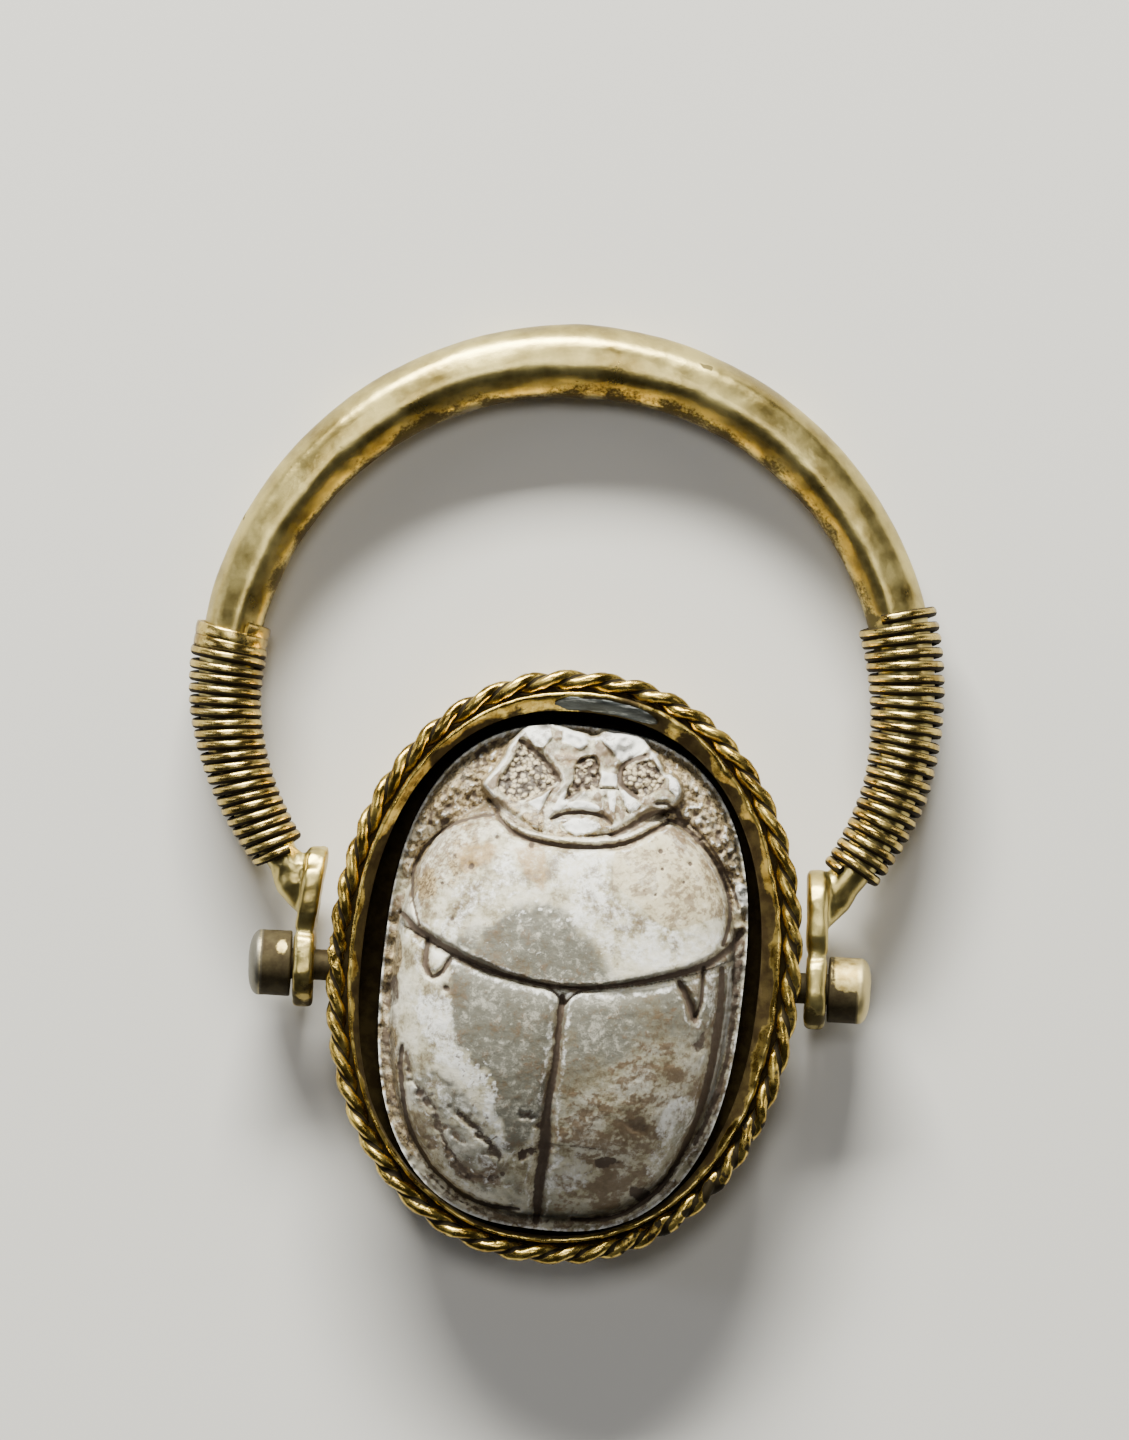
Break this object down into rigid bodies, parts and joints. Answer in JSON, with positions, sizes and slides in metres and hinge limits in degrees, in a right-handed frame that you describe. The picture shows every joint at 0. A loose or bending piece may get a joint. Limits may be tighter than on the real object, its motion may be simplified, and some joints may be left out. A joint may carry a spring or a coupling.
{
  "type": "scarab swivel ring",
  "caption": "Carved stone scarab in an oval gold bezel with a twisted wire rim, turning on side pins in a thick finger hoop with wire-wound shoulders.",
  "frame": {"origin": "middle of the scarab's flat underside, level with the bezel's foot and below the middle of the swivel pins", "axes": "+X along the swivel pins, +Y from the bezel towards the top of the hoop, +Z out of the beetle's back"},
  "size_m": [0.0222, 0.0275, 0.0061],
  "materials": {
    "glazed_steatite": "worn cream glaze over carved stone, dirt in the grooves",
    "bezel_gold": "matte to satin gold sheet",
    "twisted_gold_wire": "bright gold wire with dark recesses",
    "grey_solder": "dull dark grey metal",
    "tarnished_pin": "tarnished, worn silvery at the end",
    "gold_pin": "satin gold, worn silvery at the end",
    "satin_gold": "satin, pale and slightly greenish gold",
    "binding_gold_wire": "bright gold wire with dark recesses"
  },
  "bodies": {
    "bezel": {"bezel": "bezel_gold", "rope_border": "twisted_gold_wire", "grey_patch": "grey_solder", "scarab": "glazed_steatite", "pin_left": "tarnished_pin", "pin_right": "gold_pin"},
    "hoop": {"hoop": "satin_gold", "binding_wire_left": "binding_gold_wire", "binding_wire_right": "binding_gold_wire"}
  },
  "joints": [
    {"name": "swivel", "type": "hinge", "parent": "bezel", "child": "hoop", "pos_m": [0, 0, 0.0018], "axis": [1, 0, 0], "continuous": true}
  ]
}
